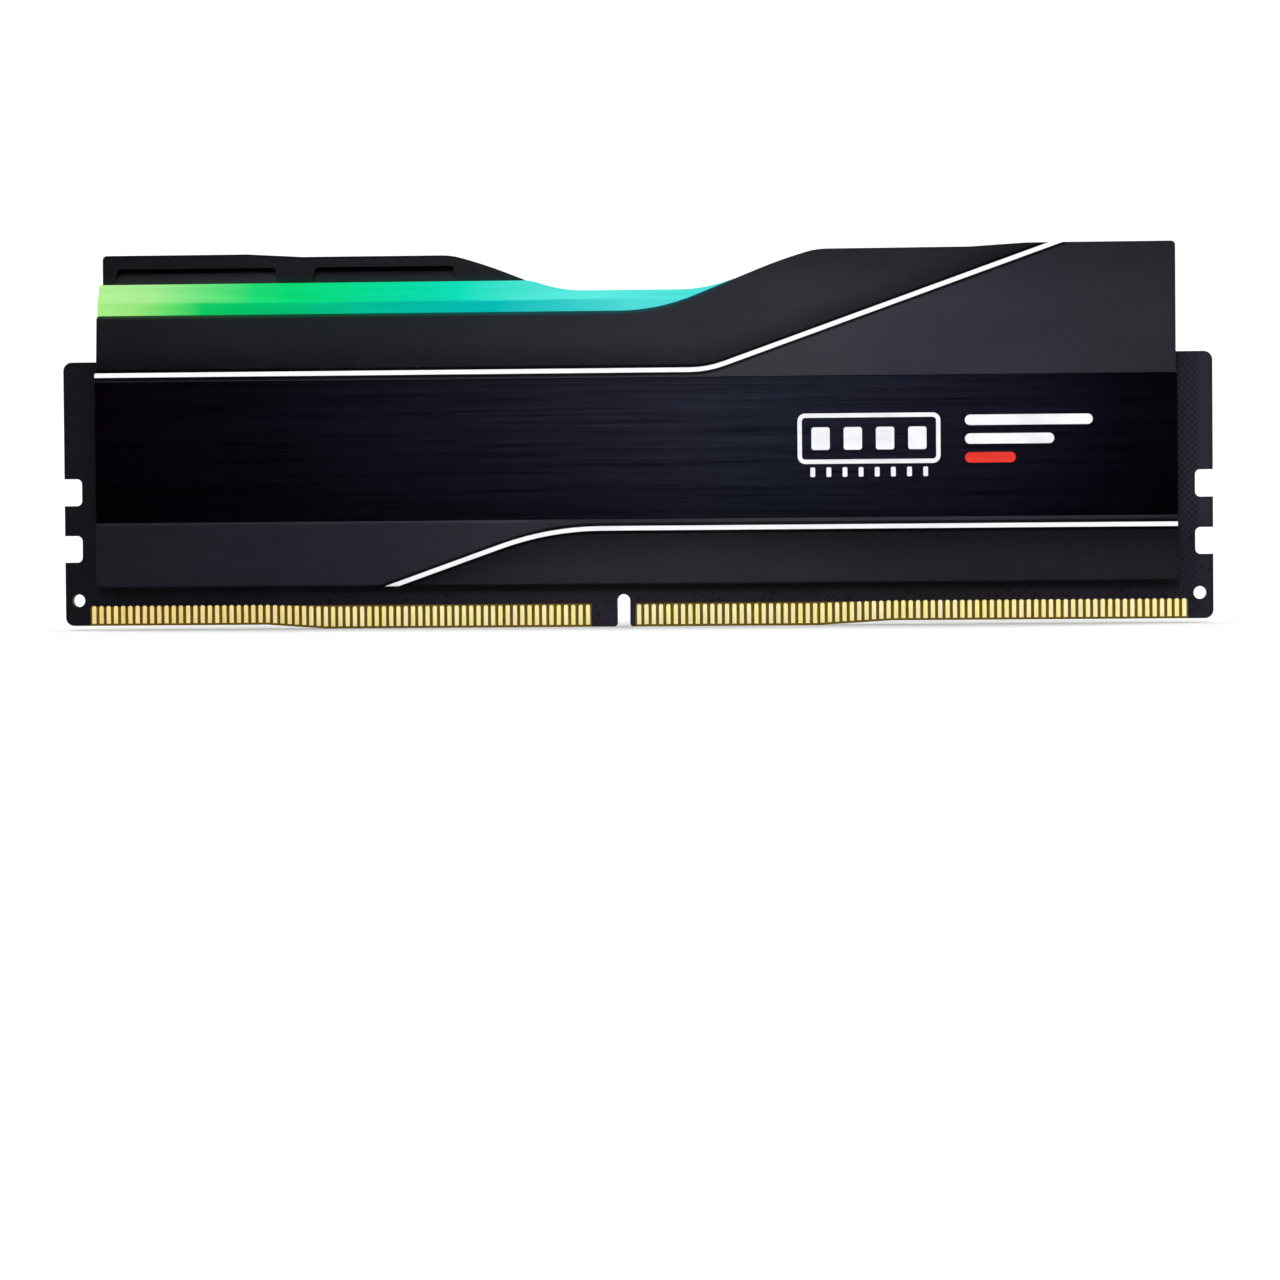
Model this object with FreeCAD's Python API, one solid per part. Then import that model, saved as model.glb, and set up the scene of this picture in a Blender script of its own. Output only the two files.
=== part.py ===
import FreeCAD, Part
import math
import os

# A desktop DDR5 memory module with two aluminium heat spreaders and a lit bar along its top.
# Millimetres. +X runs along the module, the front faces -Y and +Z is up.
# The origin is at the middle of the contact edge: centre of the length, centre of the board's
# thickness, lowest point of the edge that goes into the socket.
# The back heat spreader and its trim are the front ones turned half a turn about Z.

os.makedirs("parts", exist_ok=True)

# ---- board ----
BOARD_LENGTH = 133.35
BOARD_HEIGHT = 31.25
BOARD_THICK = 1.27
BOARD_TOP_RADIUS = 1.0
BOARD_BOTTOM_RADIUS = 1.0
EDGE_LIFT = 0.5              # the ends of the contact edge stand this much higher than its middle
EDGE_FLAT = (-36.0, 21.0)    # the low middle of the contact edge
EDGE_RAISED = (-43.0, 29.5)  # where the raised ends begin
KEY_X = -1.37
KEY_WIDTH = 1.5
KEY_DEPTH = 3.75
KEY_MOUTH_RADIUS = 0.4
LATCH_DEPTH = 2.05
LATCH_HEIGHTS = ((7.9, 11.0), (14.5, 17.65))
LATCH_RADIUS = 0.6
TOOLING_HOLE_DIAMETER = 1.5
TOOLING_HOLE_X = 65.15
TOOLING_HOLE_Z = 3.45

# ---- contacts ----
CONTACT_PITCH = 0.85
CONTACT_WIDTH = 0.48
CONTACT_THICK = 0.05
CONTACT_Z = (0.25, 2.56)     # measured up from the board's edge just below each contact
CONTACT_TOP_RADIUS = 0.20
FIRST_CONTACT_X = 63.325
LEFT_CONTACTS = 69
RIGHT_CONTACTS = 75

# ---- heat spreader ----
OUTER_Y = 4.0                # half of the module's thickness
PLATE_THICK = 1.8
HALF_WIDTH = 62.45
UPPER_HALF_WIDTH = 62.3
LEFT_STEP_Z = 29.95          # the plate has narrowed to its upper width here, at its left end
RIGHT_STEP_Z = 29.1          # and here at its right end
STEP_HEIGHT = 0.3            # the height it takes to narrow
PLATE_BOTTOM = 4.9
LOW_WALL_TOP = 36.5
HIGH_WALL_TOP = 43.75
SHOULDER_TOP = 43.38         # the high wall's inner stretch, a little lower than its outer end
RISE_X = 2.95                # where the rise would leave the low wall's top if its bend were sharp
RISE_RADIUS = 22.8
RISE_BEND = (16.85, 42.06)   # where the rise eases off before its crest
RISE_BEND_RADIUS = 50.0
CREST_X = 21.2               # where the rise would meet the shoulder if its crest were sharp
CREST_RADIUS = 8.4
SHOULDER_X = (38.8, 45.2)    # the gentle step from the shoulder up to the full height
SHOULDER_RADIUS = 3.0
CORNER_RADIUS = 0.35         # the plate's square corners
HIGH_CORNER_RADIUS = 0.5
WALL_INNER_Y = 1.4           # inner face of the high wall, above the board
WALL_FOOT_Z = 36.7
WALL_START_X = 4.0
POCKETS_X = ((20.5, 37.8), (41.4, 61.1))
POCKET_Z = (40.0, 42.15)
POCKET_DEPTH = 0.85
POCKET_FOOT_DEPTH = 0.1
POCKET_SLANT = 0.6
POCKET_RADIUS = 0.4
RIM_RADIUS = 0.15            # outer edges of the plate
WALL_CHAMFER = 0.25          # inner top edge of the high wall

# ---- facets, stripes and brushed strip ----
STRIPE_WIDTH = 0.52
STRIPE_DEPTH = 0.15
FACET_STEP = 0.25
FACET_TILT = 6.0
STRIPE_ANGLE = 19.5
UPPER_STRIPE_Z = 29.57
UPPER_BEND_X = 8.7
UPPER_BEND_RADIUS = 12.0
UPPER_FACET_REACH = 14.0
LOWER_STRIPE_Z = 11.4
LOWER_BEND_X = -9.7
LOWER_BEND_RADIUS = 35.0
LOWER_FACET_REACH = 12.0
STRIP_Z = (12.45, 28.75)
STRIP_RECESS = 0.55
STRIP_THICK = 0.40
STRIP_CHAMFER = 0.08

# ---- printed mark: a pictogram of a memory module beside three bars ----
PRINT_THICK = 0.03
ICON_X = (19.0, 35.4)
ICON_Z = (18.6, 24.4)
ICON_LINE = 0.5              # width of the outline
ICON_RADIUS = 0.9
ICON_MARGIN = 0.8            # what the rows of chips and contacts leave free at each end
ICON_CHIP = (2.1, 2.6)
ICON_CHIP_RADIUS = 0.3
ICON_CHIPS = 4
ICON_TICK = (0.55, 1.1)
ICON_TICK_RADIUS = 0.15
ICON_TICKS = 8
ICON_TICK_GAP = 0.4
PRINT_BAR_X = 38.2
PRINT_BARS = ((14.6, 22.9), (10.2, 20.75))
ACCENT_BAR = (5.8, 18.6)
PRINT_BAR_HEIGHT = 1.2

# ---- light bar ----
BAR_HALF_LENGTH = 62.2
BAR_LIP_Z = 28.2             # the lip that bears on the back of the board
BAR_STEM_Z = 31.7
BAR_RIDGE_Z = 37.9
BAR_TOP_Z = 40.2
BAR_HEAD_Y = 2.85
BAR_RIDGE_Y = 2.75
BAR_TOP_Y = 1.1
BAR_SOFT_RADIUS = 0.25
VALLEY_Z = 38.93
VALLEY_X = (7.95, 11.9)      # where each slope would leave the floor and the top if it were sharp
VALLEY_RADIUS = 15.0
VALLEY_RIM_RADIUS = 4.0

# ---- components on the board ----
DRAM_SIZE = (10.0, 1.1, 11.0)
DRAM_X = (13.0, 26.4, 39.8, 53.2)
DRAM_Z = 8.4
PMIC_SIZE = (5.0, 0.9, 5.0)
PMIC_PLACE = (-2.5, 22.4)
SPD_SIZE = (3.0, 0.75, 2.0)
SPD_PLACE = (-1.5, 12.6)
CONTROLLER_SIZE = (4.0, 0.85, 4.0)
CONTROLLER_PLACE = (24.0, 22.6)
INDUCTOR_SIZE = (3.2, 1.2, 2.6)
INDUCTOR_PLACES = ((-9.4, 22.8), (-14.0, 22.8), (5.6, 22.8))
INDUCTOR_CHAMFER = 0.35
LED_SIZE = (3.2, 1.0, 1.4)
LED_COUNT = 10
LED_PITCH = 12.5
LED_Z = 29.6
LED_WALL = (0.5, 0.2)        # what the lamp's hollow leaves at its ends and at its sides
LED_HOLLOW_DEPTH = 0.3
CHIP_SIZE = (1.0, 0.5, 0.5)  # capacitors and resistors
CAPACITORS_PER_CHIP = 5
CAPACITOR_PITCH = 2.0
CAPACITOR_OFFSET = (0.5, 12.2)
POWER_CAPACITORS = 6
POWER_CAPACITOR_PITCH = 1.8
POWER_CAPACITOR_PLACE = (-5.4, 20.9)
RESISTORS_PER_CHIP = 4
RESISTOR_PITCH = 2.4
RESISTOR_OFFSET = (0.9, -1.6)
MARK_RADIUS = 0.4            # the dimple that marks a package's first pin
MARK_DEPTH = 0.1
MARK_INSET = 1.1
PAD_Z = (8.0, 19.8)
PAD_X = (7.4, 58.8)
FOAM_X = 59.0
FOAM_Z = (8.0, 26.0)

BOARD_FACE = BOARD_THICK / 2
PLATE_INNER = OUTER_Y - PLATE_THICK
HALF_LENGTH = BOARD_LENGTH / 2


def on_front(x, z):
    """A point of a front view, in the plane y = 0."""
    return FreeCAD.Vector(x, 0, z)


def on_end(y, z):
    """A point of an end view, in the plane x = 0."""
    return FreeCAD.Vector(0, y, z)


def line(start, end):
    return Part.LineSegment(start, end).toShape()


def rounded_path(corners, place, closed):
    """A wire through (a, b, radius) corners, with a tangent arc at each corner that has a radius."""
    points = [place(a, b) for a, b, radius in corners]
    pieces = []
    for index, (a, b, radius) in enumerate(corners):
        corner = points[index]
        if radius == 0:
            pieces.append((corner, None, corner))
            continue
        back = points[index - 1].sub(corner).normalize()
        ahead = points[(index + 1) % len(points)].sub(corner).normalize()
        half_angle = back.getAngle(ahead) / 2
        reach = radius / math.tan(half_angle)
        inward = back.add(ahead).normalize()
        middle = corner + inward * (radius / math.sin(half_angle) - radius)
        pieces.append((corner + back * reach, middle, corner + ahead * reach))
    edges = []
    for index, (start, middle, end) in enumerate(pieces):
        if middle is not None:
            edges.append(Part.Arc(start, middle, end).toShape())
        if index + 1 < len(pieces) or closed:
            edges.append(line(end, pieces[(index + 1) % len(pieces)][0]))
    return Part.Wire(edges)


def front_prism(corners, y_start, y_end):
    """A closed outline of a front view, pulled through the thickness from y_start to y_end."""
    face = Part.Face(rounded_path(corners, on_front, True))
    face.translate(FreeCAD.Vector(0, y_start, 0))
    return face.extrude(FreeCAD.Vector(0, y_end - y_start, 0))


def end_prism(corners, x_start, x_end):
    """A closed outline of an end view, pulled along the length from x_start to x_end."""
    face = Part.Face(rounded_path(corners, on_end, True))
    face.translate(FreeCAD.Vector(x_start, 0, 0))
    return face.extrude(FreeCAD.Vector(x_end - x_start, 0, 0))


def block(x_range, y_range, z_range):
    size = [high - low for low, high in (x_range, y_range, z_range)]
    corner = FreeCAD.Vector(x_range[0], y_range[0], z_range[0])
    return Part.makeBox(size[0], size[1], size[2], corner)


def turned(shape):
    """The same piece on the other face of the module: half a turn about Z."""
    copy = shape.copy()
    copy.rotate(FreeCAD.Vector(0, 0, 0), FreeCAD.Vector(0, 0, 1), 180)
    return copy


def save(name, shape):
    shape.exportStep("parts/" + name + ".step")


# ---- board and contacts ----

def edge_z(x):
    """Height of the board's contact edge at x: a low middle, two ramps and two raised ends."""
    if x < EDGE_FLAT[0]:
        share = (EDGE_FLAT[0] - x) / (EDGE_FLAT[0] - EDGE_RAISED[0])
    else:
        share = (x - EDGE_FLAT[1]) / (EDGE_RAISED[1] - EDGE_FLAT[1])
    return EDGE_LIFT * min(max(share, 0.0), 1.0)


def latch_corners(side):
    """The two latch notches of one end, from the lower one up, as outline corners."""
    edge = side * HALF_LENGTH
    floor = side * (HALF_LENGTH - LATCH_DEPTH)
    corners = []
    for bottom, top in LATCH_HEIGHTS:
        corners += [
            (edge, bottom, 0),
            (floor, bottom, LATCH_RADIUS),
            (floor, top, LATCH_RADIUS),
            (edge, top, 0),
        ]
    return corners


def make_board():
    left_key = KEY_X - KEY_WIDTH / 2
    right_key = KEY_X + KEY_WIDTH / 2
    # The top of the key slot is a half circle, drawn as two quarter turns.
    key_round = KEY_WIDTH / 2 - 0.01
    outline = [
        (EDGE_FLAT[0], 0, 0),
        (left_key, 0, KEY_MOUTH_RADIUS),
        (left_key, KEY_DEPTH, key_round),
        (right_key, KEY_DEPTH, key_round),
        (right_key, 0, KEY_MOUTH_RADIUS),
        (EDGE_FLAT[1], 0, 0),
        (EDGE_RAISED[1], EDGE_LIFT, 0),
        (HALF_LENGTH, EDGE_LIFT, BOARD_BOTTOM_RADIUS),
    ]
    outline += latch_corners(1)
    outline += [
        (HALF_LENGTH, BOARD_HEIGHT, BOARD_TOP_RADIUS),
        (-HALF_LENGTH, BOARD_HEIGHT, BOARD_TOP_RADIUS),
    ]
    outline += reversed(latch_corners(-1))
    outline += [
        (-HALF_LENGTH, EDGE_LIFT, BOARD_BOTTOM_RADIUS),
        (EDGE_RAISED[0], EDGE_LIFT, 0),
    ]
    board = front_prism(outline, -BOARD_FACE, BOARD_FACE)
    for side in (-1, 1):
        hole = Part.makeCylinder(
            TOOLING_HOLE_DIAMETER / 2,
            BOARD_THICK,
            FreeCAD.Vector(side * TOOLING_HOLE_X, -BOARD_FACE, TOOLING_HOLE_Z),
            FreeCAD.Vector(0, 1, 0),
        )
        board = board.cut(hole)
    return board


def make_contacts(first_x, count):
    """A run of gold contacts on the front face, starting at first_x and going right."""
    contacts = []
    for index in range(count):
        x = first_x + index * CONTACT_PITCH
        left = x - CONTACT_WIDTH / 2
        right = x + CONTACT_WIDTH / 2
        foot = edge_z(x) + CONTACT_Z[0]
        top = edge_z(x) / 2 + CONTACT_Z[1]
        outline = [
            (left, foot, 0),
            (right, foot, 0),
            (right, top, CONTACT_TOP_RADIUS),
            (left, top, CONTACT_TOP_RADIUS),
        ]
        contacts.append(front_prism(outline, -BOARD_FACE - CONTACT_THICK, -BOARD_FACE))
    return Part.makeCompound(contacts)


# ---- heat spreader ----

def spreader_outline():
    return [
        (-HALF_WIDTH, PLATE_BOTTOM, CORNER_RADIUS),
        (-HALF_WIDTH, LEFT_STEP_Z - STEP_HEIGHT, 0),
        (-UPPER_HALF_WIDTH, LEFT_STEP_Z, 0),
        (-UPPER_HALF_WIDTH, LOW_WALL_TOP, CORNER_RADIUS),
        (RISE_X, LOW_WALL_TOP, RISE_RADIUS),
        (RISE_BEND[0], RISE_BEND[1], RISE_BEND_RADIUS),
        (CREST_X, SHOULDER_TOP, CREST_RADIUS),
        (SHOULDER_X[0], SHOULDER_TOP, SHOULDER_RADIUS),
        (SHOULDER_X[1], HIGH_WALL_TOP, SHOULDER_RADIUS),
        (UPPER_HALF_WIDTH, HIGH_WALL_TOP, HIGH_CORNER_RADIUS),
        (UPPER_HALF_WIDTH, RIGHT_STEP_Z, 0),
        (HALF_WIDTH, RIGHT_STEP_Z - STEP_HEIGHT, 0),
        (HALF_WIDTH, PLATE_BOTTOM, CORNER_RADIUS),
    ]


def spreader_blank():
    """The front plate with its thicker high wall, before anything is cut into it."""
    plate = front_prism(spreader_outline(), -OUTER_Y, -PLATE_INNER)
    wall = front_prism(spreader_outline(), -OUTER_Y, -WALL_INNER_Y)
    wall = wall.common(block(
        (WALL_START_X, HALF_WIDTH),
        (-OUTER_Y, 0),
        (WALL_FOOT_Z, HIGH_WALL_TOP + 1),
    ))
    return plate.fuse(wall).removeSplitter()


def stripe_path(z, bend_x, bend_radius, direction):
    """The middle line of a stripe: level to its bend, then turned away by the stripe's angle.

    direction is 1 for the upper stripe, which runs right and up, and -1 for the lower one, which
    runs left and down.
    """
    slope = math.tan(math.radians(STRIPE_ANGLE))
    beyond = HALF_WIDTH + 5.0
    run = direction * beyond - bend_x
    corners = [
        (-direction * beyond, z, 0),
        (bend_x, z, bend_radius),
        (direction * beyond, z + run * slope, 0),
    ]
    return rounded_path(corners, on_front, False)


def swept_section(path, direction, section):
    """Sweep a section of (distance from the stripe's middle, y) points along a stripe's path."""
    start = path.OrderedVertexes[0].Point
    points = [start + FreeCAD.Vector(0, y, direction * distance) for distance, y in section]
    profile = Part.makePolygon(points + points[:1])
    return path.makePipeShell([profile], True, False)


def facet_cutter(path, direction, reach):
    """What is removed to leave a facet that starts a small step below a stripe and tilts inward."""
    near = STRIPE_WIDTH / 2
    step_y = -OUTER_Y + FACET_STEP
    deep_y = step_y + (reach - near) * math.tan(math.radians(FACET_TILT))
    outside_y = -OUTER_Y - 1.0
    section = [(near, outside_y), (near, step_y), (reach, deep_y), (reach, outside_y)]
    return swept_section(path, direction, section)


def stripe_cutter(path, direction):
    half = STRIPE_WIDTH / 2
    groove_y = -OUTER_Y + STRIPE_DEPTH
    section = [(-half, -OUTER_Y), (-half, groove_y), (half, groove_y), (half, -OUTER_Y)]
    return swept_section(path, direction, section)


def pocket_cutter(x_range):
    """A long pocket in the high wall's inner face: deep at its top, shallow at its foot."""
    left, right = x_range
    bottom, top = POCKET_Z
    outline = [
        (left, bottom, 0),
        (left + POCKET_SLANT, top, POCKET_RADIUS),
        (right - POCKET_SLANT, top, POCKET_RADIUS),
        (right, bottom, 0),
    ]
    inner = -WALL_INNER_Y
    prism = front_prism(outline, inner - POCKET_DEPTH, inner)
    section = [
        (inner, bottom, 0),
        (inner - POCKET_FOOT_DEPTH, bottom, 0),
        (inner - POCKET_DEPTH, top, 0),
        (inner, top, 0),
    ]
    return prism.common(end_prism(section, left, right))


def rim_edges(solid, y_range, lowest_z):
    """The solid's edges that run along the spreader's outline, within y_range and above lowest_z."""
    outline = rounded_path(spreader_outline(), on_front, True)
    found = []
    for edge in solid.Edges:
        first, last = edge.ParameterRange
        points = [edge.valueAt(first + (last - first) * share) for share in (0.0, 0.5, 1.0)]
        shadows = [on_front(point.x, point.z) for point in points]
        along = shadows[0].distanceToPoint(shadows[2]) > 0.01
        in_range = all(y_range[0] <= point.y <= y_range[1] for point in points)
        high_enough = all(point.z >= lowest_z for point in points)
        gaps = [Part.Vertex(shadow).distToShape(outline)[0] for shadow in shadows]
        if along and in_range and high_enough and max(gaps) < 1e-4:
            found.append(edge)
    return found


def make_spreader_and_stripes():
    """The front heat spreader, its upper stripe and its lower stripe."""
    spreader = spreader_blank()
    upper = stripe_path(UPPER_STRIPE_Z, UPPER_BEND_X, UPPER_BEND_RADIUS, 1)
    lower = stripe_path(LOWER_STRIPE_Z, LOWER_BEND_X, LOWER_BEND_RADIUS, -1)
    spreader = spreader.cut(facet_cutter(upper, 1, UPPER_FACET_REACH))
    spreader = spreader.cut(facet_cutter(lower, -1, LOWER_FACET_REACH))
    for x_range in POCKETS_X:
        spreader = spreader.cut(pocket_cutter(x_range))
    outer_range = (-OUTER_Y - 0.01, -PLATE_INNER - 0.1)
    spreader = spreader.makeFillet(RIM_RADIUS, rim_edges(spreader, outer_range, 0))
    inner_range = (-WALL_INNER_Y - 0.01, -WALL_INNER_Y + 0.01)
    wall_edges = rim_edges(spreader, inner_range, BAR_TOP_Z)
    spreader = spreader.makeChamfer(WALL_CHAMFER, wall_edges)
    stripes = []
    for path, direction in ((upper, 1), (lower, -1)):
        cutter = stripe_cutter(path, direction)
        stripes.append(cutter.common(spreader))
        spreader = spreader.cut(cutter)
    recess = block((-HALF_WIDTH, HALF_WIDTH), (-OUTER_Y, -OUTER_Y + STRIP_RECESS), STRIP_Z)
    spreader = spreader.cut(recess)
    return spreader, stripes[0], stripes[1]


def make_brushed_strip():
    """The strip that fills the long recess, set a little below the plate's outer face."""
    back = -OUTER_Y + STRIP_RECESS
    strip = block((-HALF_WIDTH, HALF_WIDTH), (back - STRIP_THICK, back), STRIP_Z)
    front_edges = [
        edge for edge in strip.Edges
        if max(vertex.Y for vertex in edge.Vertexes) < back - STRIP_THICK / 2
    ]
    return strip.makeChamfer(STRIP_CHAMFER, front_edges)


# ---- printed mark ----

def printed(x, z, size, radius):
    """A rounded rectangle of ink on the brushed strip, from its lower left corner."""
    width, height = size
    outline = [
        (x, z, radius),
        (x + width, z, radius),
        (x + width, z + height, radius),
        (x, z + height, radius),
    ]
    face = -OUTER_Y + STRIP_RECESS - STRIP_THICK
    return front_prism(outline, face - PRINT_THICK, face)


def spread_evenly(low, high, count):
    """The middles of count equal shares of the span from low to high."""
    share = (high - low) / count
    return [low + share * (index + 0.5) for index in range(count)]


def make_pictogram():
    """The outline of a module, the chips inside it and the contacts below it."""
    left, right = ICON_X
    bottom, top = ICON_Z
    line_width = ICON_LINE
    outer = (right - left, top - bottom)
    inner = (outer[0] - 2 * line_width, outer[1] - 2 * line_width)
    body = printed(left, bottom, outer, ICON_RADIUS)
    hollow = printed(left + line_width, bottom + line_width, inner, ICON_RADIUS - line_width)
    marks = [body.cut(hollow)]
    row = (left + ICON_MARGIN, right - ICON_MARGIN)
    chip_z = (bottom + top - ICON_CHIP[1]) / 2
    for x in spread_evenly(row[0], row[1], ICON_CHIPS):
        marks.append(printed(x - ICON_CHIP[0] / 2, chip_z, ICON_CHIP, ICON_CHIP_RADIUS))
    tick_z = bottom - ICON_TICK_GAP - ICON_TICK[1]
    for x in spread_evenly(row[0], row[1], ICON_TICKS):
        marks.append(printed(x - ICON_TICK[0] / 2, tick_z, ICON_TICK, ICON_TICK_RADIUS))
    return marks


def make_print_bar(length, z):
    """A bar of ink with nearly round ends."""
    radius = PRINT_BAR_HEIGHT / 2 - 0.01
    return printed(PRINT_BAR_X, z, (length, PRINT_BAR_HEIGHT), radius)


def make_print():
    """The white part of the mark."""
    bars = [make_print_bar(length, z) for length, z in PRINT_BARS]
    return Part.makeCompound(make_pictogram() + bars)


# ---- light bar ----

def make_light_bar():
    """The frosted bar: a head with two slopes a side, on a stem that the two plates clamp."""
    inner = PLATE_INNER
    section = [
        (-BAR_HEAD_Y, LOW_WALL_TOP, 0),
        (-BAR_RIDGE_Y, BAR_RIDGE_Z, BAR_SOFT_RADIUS),
        (-BAR_TOP_Y, BAR_TOP_Z, BAR_SOFT_RADIUS),
        (BAR_TOP_Y, BAR_TOP_Z, BAR_SOFT_RADIUS),
        (BAR_RIDGE_Y, BAR_RIDGE_Z, BAR_SOFT_RADIUS),
        (BAR_HEAD_Y, LOW_WALL_TOP, 0),
        (inner, LOW_WALL_TOP, 0),
        (inner, BAR_LIP_Z, 0),
        (BOARD_FACE, BAR_LIP_Z, 0),
        (BOARD_FACE, BAR_STEM_Z, 0),
        (-inner, BAR_STEM_Z, 0),
        (-inner, LOW_WALL_TOP, 0),
    ]
    bar = end_prism(section, -BAR_HALF_LENGTH, BAR_HALF_LENGTH)
    floor, rim = VALLEY_X
    end = rim + 1.0
    above = BAR_TOP_Z + 1.0
    valley = [
        (-end, above, 0),
        (-end, BAR_TOP_Z, 0),
        (-rim, BAR_TOP_Z, VALLEY_RIM_RADIUS),
        (-floor, VALLEY_Z, VALLEY_RADIUS),
        (floor, VALLEY_Z, VALLEY_RADIUS),
        (rim, BAR_TOP_Z, VALLEY_RIM_RADIUS),
        (end, BAR_TOP_Z, 0),
        (end, above, 0),
    ]
    bar = bar.cut(front_prism(valley, -BAR_HEAD_Y, BAR_HEAD_Y))
    wall = spreader_blank()
    return bar.cut(wall).cut(turned(wall)).removeSplitter()


# ---- components ----

def package(size, place):
    """A chip package on the board's front face, with a dimple at its first pin."""
    width, height, depth = size
    x, z = place
    y_range = (-BOARD_FACE - height, -BOARD_FACE)
    body = block((x, x + width), y_range, (z, z + depth))
    mark = Part.makeCylinder(
        MARK_RADIUS,
        MARK_DEPTH,
        FreeCAD.Vector(x + MARK_INSET, y_range[0], z + depth - MARK_INSET),
        FreeCAD.Vector(0, 1, 0),
    )
    return body.cut(mark)


def plain_block(size, place):
    """A component with no mark, on the board's front face."""
    width, height, depth = size
    x, z = place
    return block((x, x + width), (-BOARD_FACE - height, -BOARD_FACE), (z, z + depth))


def make_inductor(place):
    """A moulded power inductor with its upright edges broken."""
    body = plain_block(INDUCTOR_SIZE, place)
    upright = [edge for edge in body.Edges if abs(edge.tangentAt(edge.FirstParameter).y) > 0.9]
    return body.makeChamfer(INDUCTOR_CHAMFER, upright)


def make_led(x):
    """A side-firing lamp with a hollow for its lens in its top."""
    width, height, depth = LED_SIZE
    body = plain_block(LED_SIZE, (x - width / 2, LED_Z))
    end_wall, side_wall = LED_WALL
    lens = block(
        (x - width / 2 + end_wall, x + width / 2 - end_wall),
        (-BOARD_FACE - height + side_wall, -BOARD_FACE - side_wall),
        (LED_Z + depth - LED_HOLLOW_DEPTH, LED_Z + depth),
    )
    return body.cut(lens)


def dram_places():
    """Lower left corners of the eight memory chips, from the left."""
    width = DRAM_SIZE[0]
    centres = [-x for x in reversed(DRAM_X)] + list(DRAM_X)
    return [(x - width / 2, DRAM_Z) for x in centres]


def make_row(start, pitch, count):
    """A level row of chip components, starting at the lower left corner of the first one."""
    x, z = start
    return [plain_block(CHIP_SIZE, (x + index * pitch, z)) for index in range(count)]


def make_capacitors():
    """A row of capacitors above each memory chip, and one below the power chip."""
    parts = make_row(POWER_CAPACITOR_PLACE, POWER_CAPACITOR_PITCH, POWER_CAPACITORS)
    for x, z in dram_places():
        start = (x + CAPACITOR_OFFSET[0], z + CAPACITOR_OFFSET[1])
        parts += make_row(start, CAPACITOR_PITCH, CAPACITORS_PER_CHIP)
    return Part.makeCompound(parts)


def make_resistors():
    """A row of resistors below each memory chip, beside the contacts."""
    parts = []
    for x, z in dram_places():
        start = (x + RESISTOR_OFFSET[0], z + RESISTOR_OFFSET[1])
        parts += make_row(start, RESISTOR_PITCH, RESISTORS_PER_CHIP)
    return Part.makeCompound(parts)


def make_thermal_pad(side):
    """The soft pad between four memory chips and the front plate."""
    x_range = sorted((side * PAD_X[0], side * PAD_X[1]))
    chip_face = BOARD_FACE + DRAM_SIZE[1]
    return block(x_range, (-PLATE_INNER, -chip_face), PAD_Z)


def make_power_pad():
    x, z = PMIC_PLACE
    chip_face = BOARD_FACE + PMIC_SIZE[1]
    return block((x, x + PMIC_SIZE[0]), (-PLATE_INNER, -chip_face), (z, z + PMIC_SIZE[2]))


def make_foam():
    """The adhesive foam pad that fills the space between the bare back of the board and its plate."""
    return block((-FOAM_X, FOAM_X), (BOARD_FACE, PLATE_INNER), FOAM_Z)


# ---- everything ----

save("pcb", make_board())

left_contacts = make_contacts(-FIRST_CONTACT_X, LEFT_CONTACTS)
right_start = FIRST_CONTACT_X - (RIGHT_CONTACTS - 1) * CONTACT_PITCH
right_contacts = make_contacts(right_start, RIGHT_CONTACTS)
BACK = FreeCAD.Vector(0, BOARD_THICK + CONTACT_THICK, 0)
for side_name, contacts in (("left", left_contacts), ("right", right_contacts)):
    save("front_contacts_" + side_name, contacts)
    save("back_contacts_" + side_name, contacts.translated(BACK))

spreader, upper_stripe, lower_stripe = make_spreader_and_stripes()
trim = {
    "heat_spreader": spreader,
    "upper_stripe": upper_stripe,
    "lower_stripe": lower_stripe,
    "brushed_strip": make_brushed_strip(),
    "print": make_print(),
    "accent_print": make_print_bar(*ACCENT_BAR),
}
for name, shape in trim.items():
    save("front_" + name, shape)
    save("back_" + name, turned(shape))

save("light_bar", make_light_bar())

for number, place in enumerate(dram_places(), 1):
    save("memory_chip_%d" % number, package(DRAM_SIZE, place))
save("power_chip", package(PMIC_SIZE, PMIC_PLACE))
save("hub_chip", package(SPD_SIZE, SPD_PLACE))
save("light_controller", package(CONTROLLER_SIZE, CONTROLLER_PLACE))
for number, place in enumerate(INDUCTOR_PLACES, 1):
    save("inductor_%d" % number, make_inductor(place))
for number in range(1, LED_COUNT + 1):
    save("led_%d" % number, make_led((number - (LED_COUNT + 1) / 2) * LED_PITCH))
save("capacitors", make_capacitors())
save("resistors", make_resistors())
save("left_thermal_pad", make_thermal_pad(-1))
save("right_thermal_pad", make_thermal_pad(1))
save("power_thermal_pad", make_power_pad())
save("back_foam_pad", make_foam())
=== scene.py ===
import math

import bpy
from mathutils import Matrix, Vector

# A desktop memory module standing on its contact edge in a round, pale studio.
# Objects are in metres. Materials work in millimetres of the same frame: X runs along the module,
# Y through it and Z up, with the front facing -Y.

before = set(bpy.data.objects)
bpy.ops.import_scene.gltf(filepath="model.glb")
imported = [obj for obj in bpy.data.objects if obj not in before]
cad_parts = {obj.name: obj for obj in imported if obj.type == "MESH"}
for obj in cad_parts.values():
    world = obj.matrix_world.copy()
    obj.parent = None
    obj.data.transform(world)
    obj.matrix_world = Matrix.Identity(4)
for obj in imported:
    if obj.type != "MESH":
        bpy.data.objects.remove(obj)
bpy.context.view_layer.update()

MM = 0.001

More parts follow.
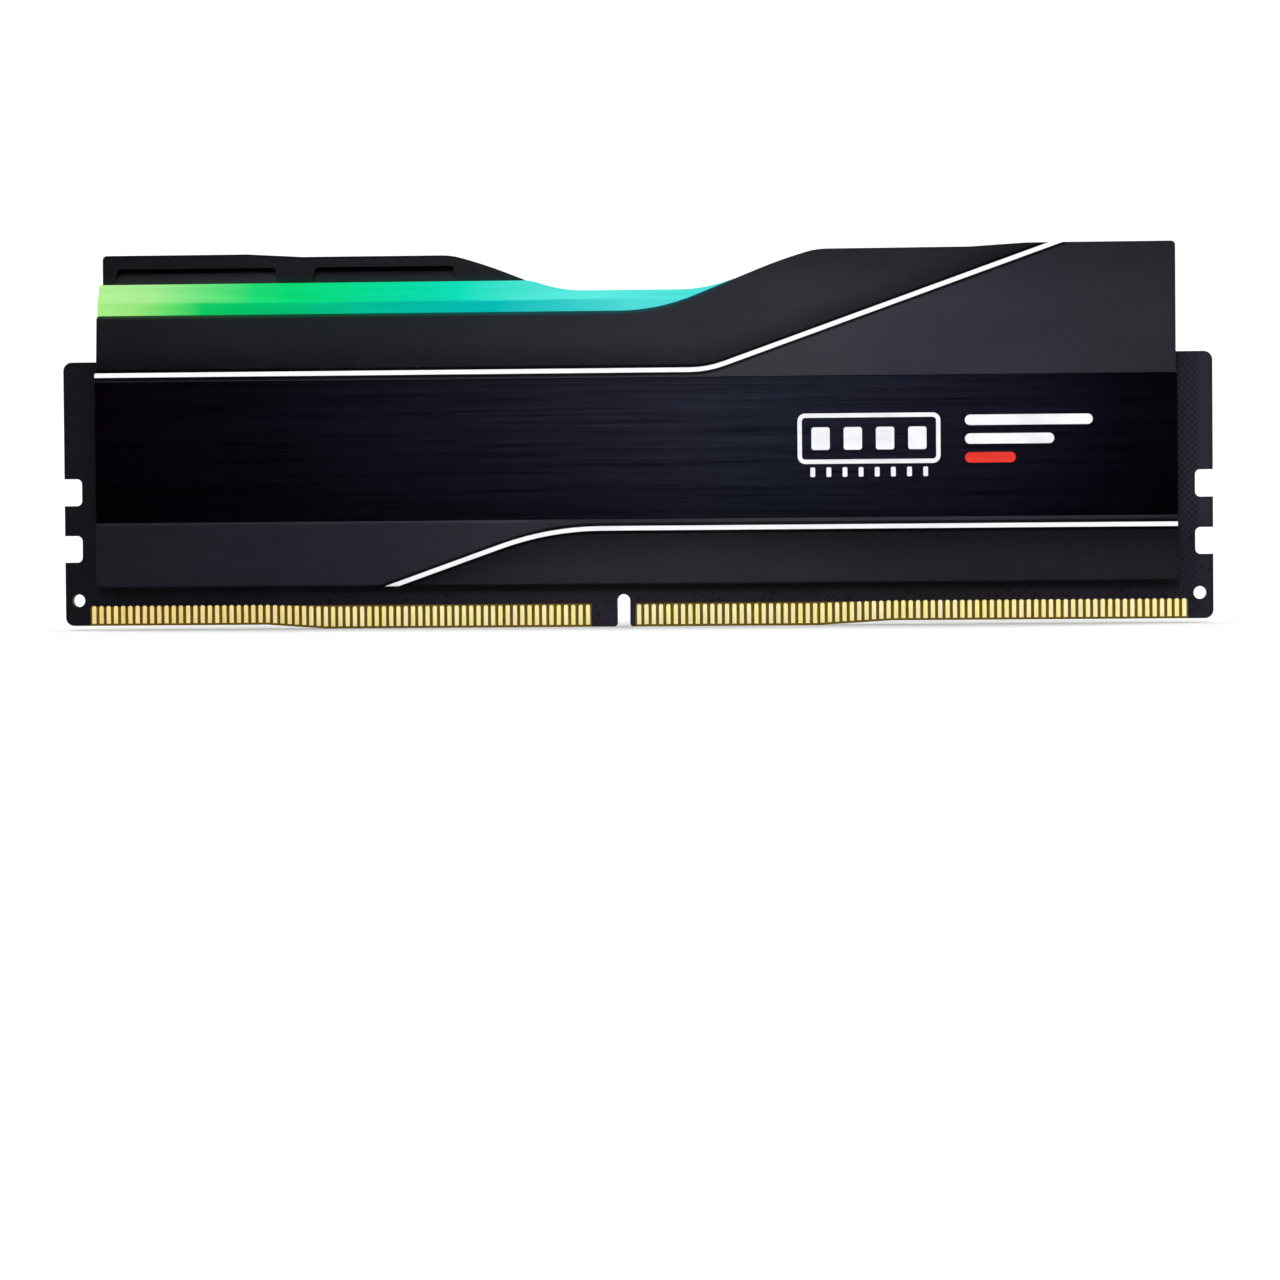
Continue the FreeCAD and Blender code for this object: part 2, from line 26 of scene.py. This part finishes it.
# ---- camera ----
ORBIT_CENTRE = Vector((0, 0, 22 * MM))
ORBIT_RADIUS = 520 * MM
SIGHT_LINE = (-3.35, 1.2)     # azimuth and elevation from the camera to the centre
AIM = (-3.30, -1.40)          # azimuth and elevation of the camera's own axis
CAMERA_ROLL = -0.47
CAMERA_LENS = 125.9
CAMERA_SENSOR = 36.0
CAMERA_REACH = (0.01, 20.0)

# ---- studio ----
FLOOR_RADIUS = 0.7
CURVE_RADIUS = 0.5
WALL_HEIGHT = 1.3
STAGE_SIDES = 96
CURVE_STEPS = 16
AIR_STRENGTH = 0.40
LIGHT_ELEVATION = 58
LIGHT_DISTANCE = 1.7
LIGHT_SIZE = (0.9, 0.7)
LIGHTS = (                           # each one's name, azimuth and power
    ("front_light", 175, 8.6),
    ("left_light", -55, 7.2),
    ("right_light", 60, 7.2),
)

# ---- places on the module that the materials follow, in millimetres ----
PLATE_REACH = (-64, 64)              # what each run of colours along the plates is spread over
BOARD_REACH = (-67, 67)
BOARD_FACE = 0.635                   # half of the board's thickness
BOARD_RIM = (66.0, 66.5)             # the board darkens over this stretch near each end
COPPER_END = 65.0                    # the hatched copper stops here
HATCH_PERIOD = 0.77
CONTACT_PITCH = 0.85
FIRST_CONTACT = 63.325
CONTACT_RUNS = ((-63.75, -5.1), (0.0, 63.75))
CONTACT_TOP = 2.81
PLATE_BOTTOM = 4.9
PLATE_END = 62.5
HIGH_WALL_TOP = 43.75
LOW_WALL_TOP = 36.5
WALL_RISE = (2.95, 6.3, 0.40)        # where the low wall's top starts to rise, how softly, and its slope
WALL_INNER = 1.4                     # the high wall's inner face
BETWEEN_POCKETS = (39, 41)
BAR_LIP = 28.2
BAR_RIDGE = 37.9
BAR_TOP = 40.2
LAMP_GLOW_Z = (30.2, 31.0)           # a lamp's glow grows over this stretch, up to its top
STRIPE_SLOPE = math.tan(math.radians(19.5))
UPPER_STRIPE = (8.7, 29.57, 2.9)     # where each stripe bends, and how softly
LOWER_STRIPE = (-9.7, 11.4, 8.6)
FACET_EDGE = (0.30, 0.40)            # a facet begins here, measured from its stripe's middle
STRIPE_SHADOW = (0.52, 0.74)                  # the painted shadow beside a stripe fades out over this stretch
STRIP_Z = (12.45, 28.75)
INNER_FACE = 2.27                    # nothing inside a plate is further out than this
# The colours of the bar's light painted on the plates as emission, a painted reflection.
BAR_REFLECTION_STOPS = [
    (-62, "2c4028"), (-39, "00502c"), (-13, "005048"), (24, "003c50"), (62, "1c2050")]

# The colour sockets of a Mix node: two inputs and one output.
MIX_FIRST = 6
MIX_SECOND = 7
MIX_RESULT = 2


def linear(code):
    """The linear colour of an sRGB code such as 2c2b30."""
    parts = [int(code[index:index + 2], 16) / 255 for index in (0, 2, 4)]
    tones = [tone / 12.92 if tone <= 0.04045 else ((tone + 0.055) / 1.055) ** 2.4 for tone in parts]
    return (*tones, 1.0)


def heading(azimuth, elevation):
    """A unit vector. Azimuth 0 points along +Y and grows towards +X; angles are in degrees."""
    turn = math.radians(azimuth)
    lift = math.radians(elevation)
    level = math.cos(lift)
    return Vector((math.sin(turn) * level, math.cos(turn) * level, math.sin(lift)))


# ---- materials ----

class Surface:
    """A material with one Principled shader. Most methods add a node and return its output."""

    def __init__(self, name, **plain):
        self.material = bpy.data.materials.new(name)
        self.material.use_nodes = True
        self.tree = self.material.node_tree
        self.shader = self.tree.nodes["Principled BSDF"]
        for socket, value in plain.items():
            self.give(socket.replace("_", " "), value)
        metres = self.add("ShaderNodeTexCoord").outputs["Object"]
        self.place = self.vector("DIVIDE", metres, (MM, MM, MM))
        self.x, self.y, self.z = self.add("ShaderNodeSeparateXYZ", self.place).outputs
        # The distance along the module as it is seen from the nearer side, so that both plates match.
        side = self.number("MULTIPLY", self.number("SIGN", self.y), -1.0)
        self.run = self.number("MULTIPLY", self.x, side)

    def feed(self, socket, value):
        """Link or set a socket, or leave it alone when value is None."""
        if isinstance(value, bpy.types.NodeSocket):
            self.tree.links.new(value, socket)
        elif value is not None:
            socket.default_value = value

    def give(self, socket, value):
        """Set or link one of the shader's own sockets."""
        self.feed(self.shader.inputs[socket], value)

    def add(self, kind, *values, **settings):
        node = self.tree.nodes.new(kind)
        for name, value in settings.items():
            setattr(node, name, value)
        for socket, value in zip(node.inputs, values):
            self.feed(socket, value)
        return node

    def number(self, operation, first, second=0.0, third=0.0):
        return self.add("ShaderNodeMath", first, second, third, operation=operation).outputs[0]

    def product(self, *values):
        """All the values multiplied together."""
        total = values[0]
        for value in values[1:]:
            total = self.number("MULTIPLY", total, value)
        return total

    def vector(self, operation, first, second):
        return self.add("ShaderNodeVectorMath", first, second, operation=operation).outputs[0]

    def times(self, colour, amount):
        return self.add("ShaderNodeVectorMath", colour, None, None, amount, operation="SCALE").outputs[0]

    def noise(self, size, detail=2.0, roughness=0.5, shift=0.0):
        """Noise from about 0 to 1 whose features are about size = (x, y, z) millimetres."""
        moved = self.vector("ADD", self.place, (shift, shift, shift))
        node = self.add("ShaderNodeTexNoise", self.vector("DIVIDE", moved, size))
        node.inputs["Scale"].default_value = 1.0
        node.inputs["Detail"].default_value = detail
        node.inputs["Roughness"].default_value = roughness
        return node.outputs["Fac"]

    def span(self, value, low, high, start=0.0, end=1.0):
        """Carry low..high to start..end along a smooth step, held outside it."""
        node = self.add("ShaderNodeMapRange", value, low, high, start, end)
        node.interpolation_type = "SMOOTHSTEP"
        return node.outputs[0]

    def straight(self, value, low, high, start=0.0, end=1.0):
        """Carry low..high to start..end in proportion, held outside it."""
        return self.add("ShaderNodeMapRange", value, low, high, start, end).outputs[0]

    def blend(self, share, start, end):
        """The number that a share from 0 to 1 picks between start and end."""
        return self.straight(share, 0.0, 1.0, start, end)

    def within(self, value, low, high, soft):
        """1 between low and high and 0 outside, with edges soft millimetres wide."""
        rising = self.span(value, low - soft / 2, low + soft / 2)
        falling = self.span(value, high - soft / 2, high + soft / 2, 1.0, 0.0)
        return self.number("MULTIPLY", rising, falling)

    def along(self, value, reach, stops):
        """A run of (value, colour code) stops over a reach from low to high."""
        low, high = reach
        node = self.add("ShaderNodeValToRGB", self.straight(value, low, high))
        elements = node.color_ramp.elements
        while len(elements) < len(stops):
            elements.new(1.0)
        for element, (at, code) in zip(elements, stops):
            element.position = (at - low) / (high - low)
            element.color = linear(code)
        return node.outputs["Color"]

    def mix(self, share, first, second):
        """The first colour at share 0 and the second at 1. Each is a code or another node's output."""
        node = self.add("ShaderNodeMix", data_type="RGBA")
        self.feed(node.inputs["Factor"], share)
        self.feed(node.inputs[MIX_FIRST], linear(first) if isinstance(first, str) else first)
        self.feed(node.inputs[MIX_SECOND], linear(second) if isinstance(second, str) else second)
        return node.outputs[MIX_RESULT]

    def bump(self, height, depth):
        """Raise the surface by height, from 0 to 1, times depth millimetres."""
        node = self.add("ShaderNodeBump")
        self.feed(node.inputs["Height"], height)
        node.inputs["Distance"].default_value = depth * MM
        self.give("Normal", node.outputs[0])


def beyond_stripe(made, stripe, side):
    """How far a point lies outside a stripe: above the upper one (side 1) or below the lower one (-1)."""
    bend_x, level, softness = stripe
    past = made.number("MULTIPLY", made.number("SUBTRACT", made.run, bend_x), side)
    climb = made.number("MULTIPLY", made.number("SMOOTH_MAX", past, 0.0, softness), STRIPE_SLOPE)
    height = made.number("MULTIPLY", made.number("SUBTRACT", made.z, level), side)
    return made.number("SUBTRACT", height, climb)


def beside_stripe(made, distance):
    """The painted shadow on both sides of a stripe."""
    return made.span(made.number("ABSOLUTE", distance), *STRIPE_SHADOW, 0.22, 1.0)


def upper_facet(made, above):
    """Painted shade on the upper facet: darkest beside the upper stripe and lightest a few millimetres above
    it.
    """
    return made.product(
        made.span(above, *FACET_EDGE, 1.0, 0.44), made.span(above, 0.4, 3.6, 1.0, 1.48),
        made.span(above, 3.8, 6.0, 1.0, 0.97))


def lower_facet(made, below):
    """Painted shade and light on the lower facet: darkest beside the lower stripe, lighter below it, and
    painted lighter and darker along the module.
    """
    painted_light_along = made.product(made.span(made.run, 0, 20, 1.35, 0.92), made.span(made.run, 35, 60, 1.0, 1.18))
    return made.product(
        made.span(below, *FACET_EDGE, 1.0, 0.34), made.span(below, 0.4, 3.5, 1.0, 1.67),
        made.span(below, 2.5, 5.5, 1.0, 1.2), made.blend(made.span(below, *FACET_EDGE), 1.0, painted_light_along))


def painted_bar_reflection(made, outside):
    """The bar's light painted on a plate as emission, a painted reflection: how strong its thin line on the
    low wall's edge is, and its colour.
    """
    rise_start, softness, slope = WALL_RISE
    risen = made.number("SMOOTH_MAX", made.number("SUBTRACT", made.run, rise_start), 0.0, softness)
    top = made.number("ADD", LOW_WALL_TOP, made.number("MULTIPLY", risen, slope))
    below_top = made.number("SUBTRACT", top, made.z)
    inside = made.number("SUBTRACT", 1.0, outside)
    line = made.product(made.span(below_top, 0.55, 0.05), made.span(made.run, 13, 7), outside)
    soft = made.product(made.span(below_top, 4.5, 1.0), made.span(made.run, 16, 6), outside, 0.05)
    wash = made.product(made.span(made.z, BAR_TOP + 1.3, BAR_TOP - 0.2), inside, 0.2)
    amount = made.number("ADD", made.number("ADD", line, soft), wash)
    return line, made.times(made.along(made.x, PLATE_REACH, BAR_REFLECTION_STOPS), amount)


def outer_shade(made, line):
    """The painted shade and light of the plate's outer side, also darker under the bar's painted line. The
    facets and stripe shadows are on its upright faces only; other faces get a flat 0.8.
    """
    above = beyond_stripe(made, UPPER_STRIPE, 1)
    below = beyond_stripe(made, LOWER_STRIPE, -1)
    # Painted shade: darker up the high wall, a little darker below the strip and dark along the plate's
    # bottom edge.
    painted_height_shade = made.product(
        made.span(made.z, LOW_WALL_TOP, HIGH_WALL_TOP - 0.25, 1.0, 0.78),
        made.span(made.z, STRIP_Z[0] + 0.55, STRIP_Z[0] - 0.45, 1.0, 0.88),
        made.span(made.z, PLATE_BOTTOM + 0.25, PLATE_BOTTOM + 0.1, 1.0, 0.45))
    # Painted highlight: a lighter line along the lower panel's top edge, left of the lower stripe's bend.
    painted_edge_highlight = made.product(made.within(made.z, STRIP_Z[0] - 0.3, STRIP_Z[0], 0.1), made.span(made.run, -9, -14))
    face = made.product(
        upper_facet(made, above), lower_facet(made, below), painted_height_shade, beside_stripe(made, above),
        beside_stripe(made, below), made.blend(painted_edge_highlight, 1.0, 1.5), made.blend(line, 1.0, 0.3))
    normal = made.add("ShaderNodeSeparateXYZ", made.add("ShaderNodeTexCoord").outputs["Normal"]).outputs
    upright = made.span(made.number("ABSOLUTE", normal[1]), 0.2, 0.5)
    return made.blend(upright, 0.8, face)


def inner_shade(made, depth):
    """Painted shade on the plate's inner side: the high wall, its pockets' floors, darkest deep in the
    pockets, and a dark line along its chamfered edge.
    """
    deep = made.span(depth, WALL_INNER + 0.63, WALL_INNER + 0.72, 1.0, 0.24)
    floor = made.number("MULTIPLY", deep, made.span(made.run, *BETWEEN_POCKETS, 0.3, 0.5))
    pocket = made.blend(made.span(depth, WALL_INNER + 0.02, WALL_INNER + 0.10), 0.36, floor)
    edge = made.product(
        made.span(depth, WALL_INNER + 0.01, WALL_INNER + 0.05),
        made.span(depth, WALL_INNER + 0.30, WALL_INNER + 0.22),
        made.span(made.z, HIGH_WALL_TOP - 0.75, HIGH_WALL_TOP - 0.65))
    return made.blend(edge, pocket, 0.12)


def anodised_plate():
    """Dark grey anodising over a finely blasted surface, with painted light and shade by place and the bar's
    light painted on as emission.
    """
    made = Surface("anodised_plate", Metallic=1.0, Specular_Tint=(0.5, 0.5, 0.52, 1.0))
    # Painted light and shade along the plates: darkest at the left end, lightest right of the middle.
    tone = made.along(made.run, PLATE_REACH, [
        (-62, "1f1c24"), (-38, "24222a"), (-10, "302e36"), (18, "3a383f"), (38, "323039"), (62, "2b282f")])
    depth = made.number("ABSOLUTE", made.y)
    outside = made.span(depth, INNER_FACE, INNER_FACE + 0.04)
    line, glow = painted_bar_reflection(made, outside)
    shade = made.blend(outside, inner_shade(made, depth), outer_shade(made, line))
    cloud = made.noise((22, 8, 7), 3.0)
    grain = made.noise((0.14, 0.14, 0.14), 2.0, 0.6, 40.0)
    fleck = made.span(made.noise((0.3, 0.3, 0.3), 1.0, 0.5, 90.0), 0.62, 0.80)
    texture = made.number(
        "ADD", made.straight(cloud, 0.3, 0.7, 0.88, 1.12), made.straight(grain, 0.3, 0.7, -0.07, 0.07))
    plain = made.times(tone, made.number("MULTIPLY", texture, shade))
    made.give("Base Color", made.mix(made.number("MULTIPLY", fleck, 0.08), plain, "55545c"))
    made.give("Emission Color", glow)
    made.give("Emission Strength", 1.0)
    made.give("Roughness", made.straight(grain, 0.3, 0.7, 0.40, 0.52))
    made.bump(grain, 0.004)
    return made.material


def brushed_strip():
    """Black anodising over lengthwise brushing, with a painted reflection that is lightest and bluest in the
    middle and painted shade towards its bottom.
    """
    made = Surface("brushed_strip", Metallic=1.0, Anisotropic=0.6, Specular_Tint=(0.5, 0.5, 0.54, 1.0))
    # Painted reflection along the strip: near black at both ends, lightest and bluest just right of the
    # middle.
    tone = made.along(made.run, PLATE_REACH, [
        (-62, "050207"), (-43, "09060d"), (-20, "12111a"), (6, "1d1e29"), (14, "1b1e28"), (24, "191b26"),
        (42, "13121e"), (56, "08060d"), (62, "060409")])
    # Painted shade: darker towards the strip's bottom.
    low = made.straight(made.z, STRIP_Z[0], 24.0, 0.46, 1.0)
    fine = made.noise((9, 0.07, 0.07), 2.0, 0.6)
    coarse = made.noise((26, 0.35, 0.35), 3.0, 0.6, 30.0)
    streaks = made.number("ADD", made.number("MULTIPLY", fine, 0.5), made.number("MULTIPLY", coarse, 0.5))
    strength = made.number("MULTIPLY", made.straight(streaks, 0.36, 0.64, 0.45, 1.6), low)
    made.give("Base Color", made.times(tone, strength))
    made.give("Roughness", made.straight(streaks, 0.3, 0.7, 0.24, 0.42))
    made.bump(streaks, 0.012)
    return made.material


def enamel(name, code, dull):
    """A thin satin coat of paint or ink with a faint orange peel."""
    made = Surface(name, Specular_IOR_Level=0.3)
    peel = made.noise((0.5, 0.5, 0.5), 2.0)
    cloud = made.noise((6, 2, 2), 3.0, 0.6, 12.0)
    made.give("Base Color", made.mix(made.straight(cloud, 0.35, 0.75), code, dull))
    made.give("Roughness", made.straight(peel, 0.3, 0.7, 0.30, 0.44))
    made.bump(peel, 0.004)
    return made.material


def copper_hatch(made):
    """The crossed lines of the copper below the solder mask, from 0 to 1."""
    turn = 2 * math.pi / HATCH_PERIOD
    falling = made.number("COSINE", made.number("MULTIPLY", made.number("ADD", made.x, made.z), turn))
    rising = made.number("COSINE", made.number("MULTIPLY", made.number("SUBTRACT", made.x, made.z), turn))
    return made.straight(made.number("ADD", falling, rising), -1.8, 1.8)


def solder_mask(made, hatch, cloud):
    """Black mask that shows the copper below it, specked near the contacts, with painted shadow under the
    plates and painted light and shade along the board.
    """
    end = made.number("ABSOLUTE", made.x)
    # Painted light and shade along the board: darkest at the left end, lightest near the middle.
    plain = made.along(made.x, BOARD_REACH, [
        (-66, "0c0a12"), (-56, "0f0d17"), (-30, "1a1724"), (-18, "25202c"), (0, "2a252f"), (20, "27222b"),
        (34, "221e26"), (66, "272430")])
    poured = made.product(
        made.within(end, 0.0, COPPER_END, 0.2), made.span(made.z, 5.0, 14.0, 0.6, 1.0),
        made.straight(cloud, 0.35, 0.65, 0.8, 1.0), made.span(made.x, -20, 50, 0.15, 1.0))
    woven = made.blend(poured, 1.0, made.blend(hatch, 0.40, 1.20))
    specks = made.span(made.noise((0.5, 0.5, 0.5), 0.0, 0.5, 17.0), 0.66, 0.72, 1.0, 0.45)
    dots = made.blend(made.span(made.z, 14, 9), 1.0, specks)
    rim = made.span(end, *BOARD_RIM, 1.0, 0.85)
    # Painted shadow of the plates: dark where a plate covers the board and just below its bottom edge.
    past_plate = made.span(end, PLATE_END - 0.1, PLATE_END + 0.4)
    below_plate = made.span(made.z, PLATE_BOTTOM - 0.4, PLATE_BOTTOM - 1.15)
    shade = made.blend(made.number("MAXIMUM", past_plate, below_plate), 0.2, 1.0)
    corner = made.number("MULTIPLY", made.span(made.x, 50, 62), made.span(made.z, 14, 8))
    return made.times(plain, made.product(woven, dots, rim, shade, made.blend(corner, 1.0, 0.7)))


def laminate():
    """The board: black solder mask over hatched copper, bare round the contacts and cut at its edges."""
    made = Surface("laminate", Specular_IOR_Level=0.06)
    hatch = copper_hatch(made)
    cloud = made.noise((5, 5, 9), 3.0)
    weave = made.noise((0.25, 0.25, 0.7), 1.0, 0.5, 5.0)
    bare = made.mix(weave, "54440e", "7a6418")
    left, right = [made.within(made.x, *run, 0.1) for run in CONTACT_RUNS]
    low = made.span(made.z, CONTACT_TOP - 0.05, CONTACT_TOP - 0.15)
    window = made.number("MULTIPLY", low, made.number("MAXIMUM", left, right))
    face = made.mix(window, solder_mask(made, hatch, cloud), bare)
    plies = made.noise((3, 0.09, 3), 1.0, 0.5, 60.0)
    cut = made.mix(made.span(plies, 0.4, 0.6), "2a2415", "5b5124")
    inside = made.span(made.number("ABSOLUTE", made.y), BOARD_FACE - 0.015, BOARD_FACE - 0.035)
    made.give("Base Color", made.mix(inside, face, cut))
    made.give("Roughness", made.straight(cloud, 0.3, 0.7, 0.42, 0.56))
    made.bump(hatch, 0.004)
    return made.material


def plated_gold():
    """Polished gold plate, a little different on each contact, with upright wipe marks."""
    made = Surface("plated_gold", Metallic=1.0)
    step = made.number("DIVIDE", made.number("ADD", made.x, FIRST_CONTACT + CONTACT_PITCH / 2), CONTACT_PITCH)
    dice = made.add("ShaderNodeTexWhiteNoise", noise_dimensions="1D")
    made.feed(dice.inputs["W"], made.number("FLOOR", step))
    pale = made.mix(dice.outputs["Value"], "fff09c", "fff0c0")
    warm = made.mix(dice.outputs["Value"], "ecc878", "fbd890")
    tint = made.mix(made.span(made.x, -20, -60, 0.0, 0.85), pale, warm)
    wipe = made.noise((0.045, 0.5, 1.6), 2.0, 0.6, 7.0)
    made.give("Base Color", made.times(tint, made.straight(wipe, 0.35, 0.7, 1.0, 0.84)))
    made.give("Roughness", made.straight(wipe, 0.3, 0.7, 0.20, 0.36))
    made.bump(wipe, 0.003)
    return made.material


def frosted_bar():
    """Frosted plastic lit from below, from yellow green through cyan to blue along its length."""
    made = Surface("frosted_bar", Specular_IOR_Level=0.02)
    upper = made.along(made.x, PLATE_REACH, [
        (-62, "b2ee94"), (-56, "a2ea90"), (-50, "6ae37e"), (-44, "1cda74"), (-40, "00d674"), (-34, "00d684"),
        (-27, "00d8a0"), (-20, "08dcb8"), (-10, "50e4d6"), (-3, "58e8de"), (6, "50e4dc"), (24, "38c8f0"),
        (44, "3c90f4"), (62, "5a6cf0")])
    lower = made.along(made.x, PLATE_REACH, [
        (-62, "a8ee88"), (-58, "9ce87e"), (-54, "68de6e"), (-50, "0ccc60"), (-46, "00c366"), (-38, "00bc78"),
        (-27, "00b89e"), (-16, "00bab4"), (-9, "2cc6c6"), (0, "50dcd8"), (6, "4cdcda"), (24, "18a8e0"),
        (44, "2470e0"), (62, "4450d8")])
    haze = made.noise((14, 0.6, 0.9), 3.0)
    wander = made.straight(haze, 0.3, 0.7, -0.1, 0.1)
    height = made.number("ADD", made.z, wander)
    colour = made.mix(made.span(height, BAR_RIDGE - 0.25, BAR_RIDGE + 0.25), lower, upper)
    frost = made.noise((0.2, 0.2, 0.2), 2.0, 0.6, 21.0)
    glow = made.product(
        made.straight(haze, 0.3, 0.7, 0.80, 0.94), made.straight(made.z, BAR_LIP, LOW_WALL_TOP, 0.35, 1.0))
    made.give("Base Color", made.times(colour, made.straight(frost, 0.3, 0.7, 0.08, 0.14)))
    made.give("Emission Color", made.times(colour, glow))
    made.give("Emission Strength", 1.0)
    made.give("Roughness", made.straight(frost, 0.3, 0.7, 0.50, 0.66))
    made.bump(frost, 0.008)
    return made.material


def grainy(name, dark, light, size, roughness, depth, **plain):
    """A material of fine grains between two tones."""
    made = Surface(name, **plain)
    grain = made.noise((size, size, size), 3.0, 0.6)
    cloud = made.noise((size * 14, size * 14, size * 14), 2.0, 0.5, 33.0)
    share = made.number("ADD", made.number("MULTIPLY", grain, 0.6), made.number("MULTIPLY", cloud, 0.4))
    made.give("Base Color", made.mix(made.straight(share, 0.35, 0.65), dark, light))
    made.give("Roughness", made.straight(grain, 0.3, 0.7, roughness - 0.07, roughness + 0.07))
    made.bump(grain, depth)
    return made.material


def lamp_housing():
    """White lamp housing that glows with the colour of the bar above it."""
    made = Surface("lamp_housing", Specular_IOR_Level=0.4)
    grain = made.noise((0.2, 0.2, 0.2), 2.0)
    colour = made.along(made.x, PLATE_REACH, [
        (-62, "a8ec90"), (-39, "00d76c"), (-13, "20e0c8"), (24, "38c8f0"), (62, "5a6cf0")])
    made.give("Base Color", made.mix(made.straight(grain, 0.3, 0.7), "cfd0cc", "e8e9e4"))
    made.give("Emission Color", made.times(colour, made.span(made.z, *LAMP_GLOW_Z, 0.0, 0.9)))
    made.give("Emission Strength", 1.0)
    made.give("Roughness", made.straight(grain, 0.3, 0.7, 0.30, 0.42))
    return made.material


def make_finishes():
    """The material for each of the record's slots."""
    return {
        "board": laminate(),
        "contact": plated_gold(),
        "spreader": anodised_plate(),
        "strip": brushed_strip(),
        "stripe": enamel("white_enamel", "f4f4f6", "e2e2e8"),
        "white_ink": enamel("white_print", "eeeef2", "d8d8e0"),
        "red_ink": enamel("red_print", "e62810", "c81c0c"),
        "light_bar": frosted_bar(),
        "package": grainy("moulded_epoxy", "131315", "222225", 0.09, 0.52, 0.006, Specular_IOR_Level=0.35),
        "inductor": grainy("pressed_ferrite", "3c3c40", "5a5a60", 0.12, 0.45, 0.008, Metallic=0.4),
        "led": lamp_housing(),
        "capacitor": grainy("tan_ceramic", "7a5a3c", "a07a54", 0.08, 0.40, 0.003),
        "resistor": grainy("black_glaze", "15151a", "26262c", 0.08, 0.25, 0.002),
        "thermal_pad": grainy(
            "filled_silicone", "8a94a0", "a4aeb8", 0.15, 0.80, 0.012, Specular_IOR_Level=0.2),
        "foam": grainy("closed_cell_foam", "1c1c20", "38383e", 0.22, 0.90, 0.05, Specular_IOR_Level=0.1),
    }


def dress(finishes):
    """Give every CAD node the finish of its slot."""
    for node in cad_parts.values():
        for slot in node.material_slots:
            slot.material = finishes[slot.material.name]


# ---- studio ----

def make_camera():
    data = bpy.data.cameras.new("camera")
    data.lens = CAMERA_LENS
    data.sensor_width = CAMERA_SENSOR
    data.clip_start, data.clip_end = CAMERA_REACH
    camera = bpy.data.objects.new("camera", data)
    bpy.context.scene.collection.objects.link(camera)
    ahead = heading(*AIM)
    level = ahead.cross(Vector((0, 0, 1))).normalized()
    upright = level.cross(ahead)
    roll = math.radians(CAMERA_ROLL)
    right = level * math.cos(roll) + upright * math.sin(roll)
    turned = Matrix((right, right.cross(ahead), -ahead)).transposed()
    place = ORBIT_CENTRE - heading(*SIGHT_LINE) * ORBIT_RADIUS
    camera.matrix_world = Matrix.Translation(place) @ turned.to_4x4()
    bpy.context.scene.camera = camera


def make_stage():
    """A round floor that curves up into a wall, open at the top."""
    profile = [(FLOOR_RADIUS, 0.0)]
    for step in range(1, CURVE_STEPS + 1):
        turn = math.radians(90 * step / CURVE_STEPS)
        profile.append((FLOOR_RADIUS + CURVE_RADIUS * math.sin(turn), CURVE_RADIUS * (1 - math.cos(turn))))
    profile.append((FLOOR_RADIUS + CURVE_RADIUS, WALL_HEIGHT))
    turns = [2 * math.pi * side / STAGE_SIDES for side in range(STAGE_SIDES)]
    points = [
        (radius * math.cos(turn), radius * math.sin(turn), height)
        for radius, height in profile for turn in turns]
    faces = [tuple(range(STAGE_SIDES))]
    for ring in range(len(profile) - 1):
        low = ring * STAGE_SIDES
        high = low + STAGE_SIDES
        for side in range(STAGE_SIDES):
            after = (side + 1) % STAGE_SIDES
            faces.append((low + side, high + side, high + after, low + after))
    mesh = bpy.data.meshes.new("floor")
    mesh.from_pydata(points, [], faces)
    mesh.polygons.foreach_set("use_smooth", [False] + [True] * (len(faces) - 1))
    floor = bpy.data.objects.new("floor", mesh)
    bpy.context.scene.collection.objects.link(floor)
    mesh.materials.append(pale_paper())


def pale_paper():
    """The matt, nearly white floor."""
    made = Surface("pale_paper", Roughness=0.9, Specular_IOR_Level=0.0)
    cloud = made.noise((90, 90, 90), 2.0)
    made.give("Base Color", made.mix(cloud, "efefef", "f3f3f2"))
    return made.material


def make_light(name, azimuth, power):
    """A soft rectangular light that looks at the module. azimuth 0 is straight behind it."""
    data = bpy.data.lights.new(name, "AREA")
    data.shape = "RECTANGLE"
    data.size, data.size_y = LIGHT_SIZE
    data.energy = power
    light = bpy.data.objects.new(name, data)
    bpy.context.scene.collection.objects.link(light)
    out = heading(azimuth, LIGHT_ELEVATION)
    light.location = ORBIT_CENTRE + out * LIGHT_DISTANCE
    light.rotation_euler = out.to_track_quat("Z", "Y").to_euler()
    light.visible_camera = False


def make_lights():
    world = bpy.data.worlds.new("studio_air")
    world.use_nodes = True
    background = world.node_tree.nodes["Background"]
    background.inputs["Color"].default_value = (1.0, 1.0, 1.0, 1.0)
    background.inputs["Strength"].default_value = AIR_STRENGTH
    bpy.context.scene.world = world
    for light in LIGHTS:
        make_light(*light)


bpy.context.scene.view_settings.view_transform = "Standard"
make_camera()
make_stage()
make_lights()
dress(make_finishes())
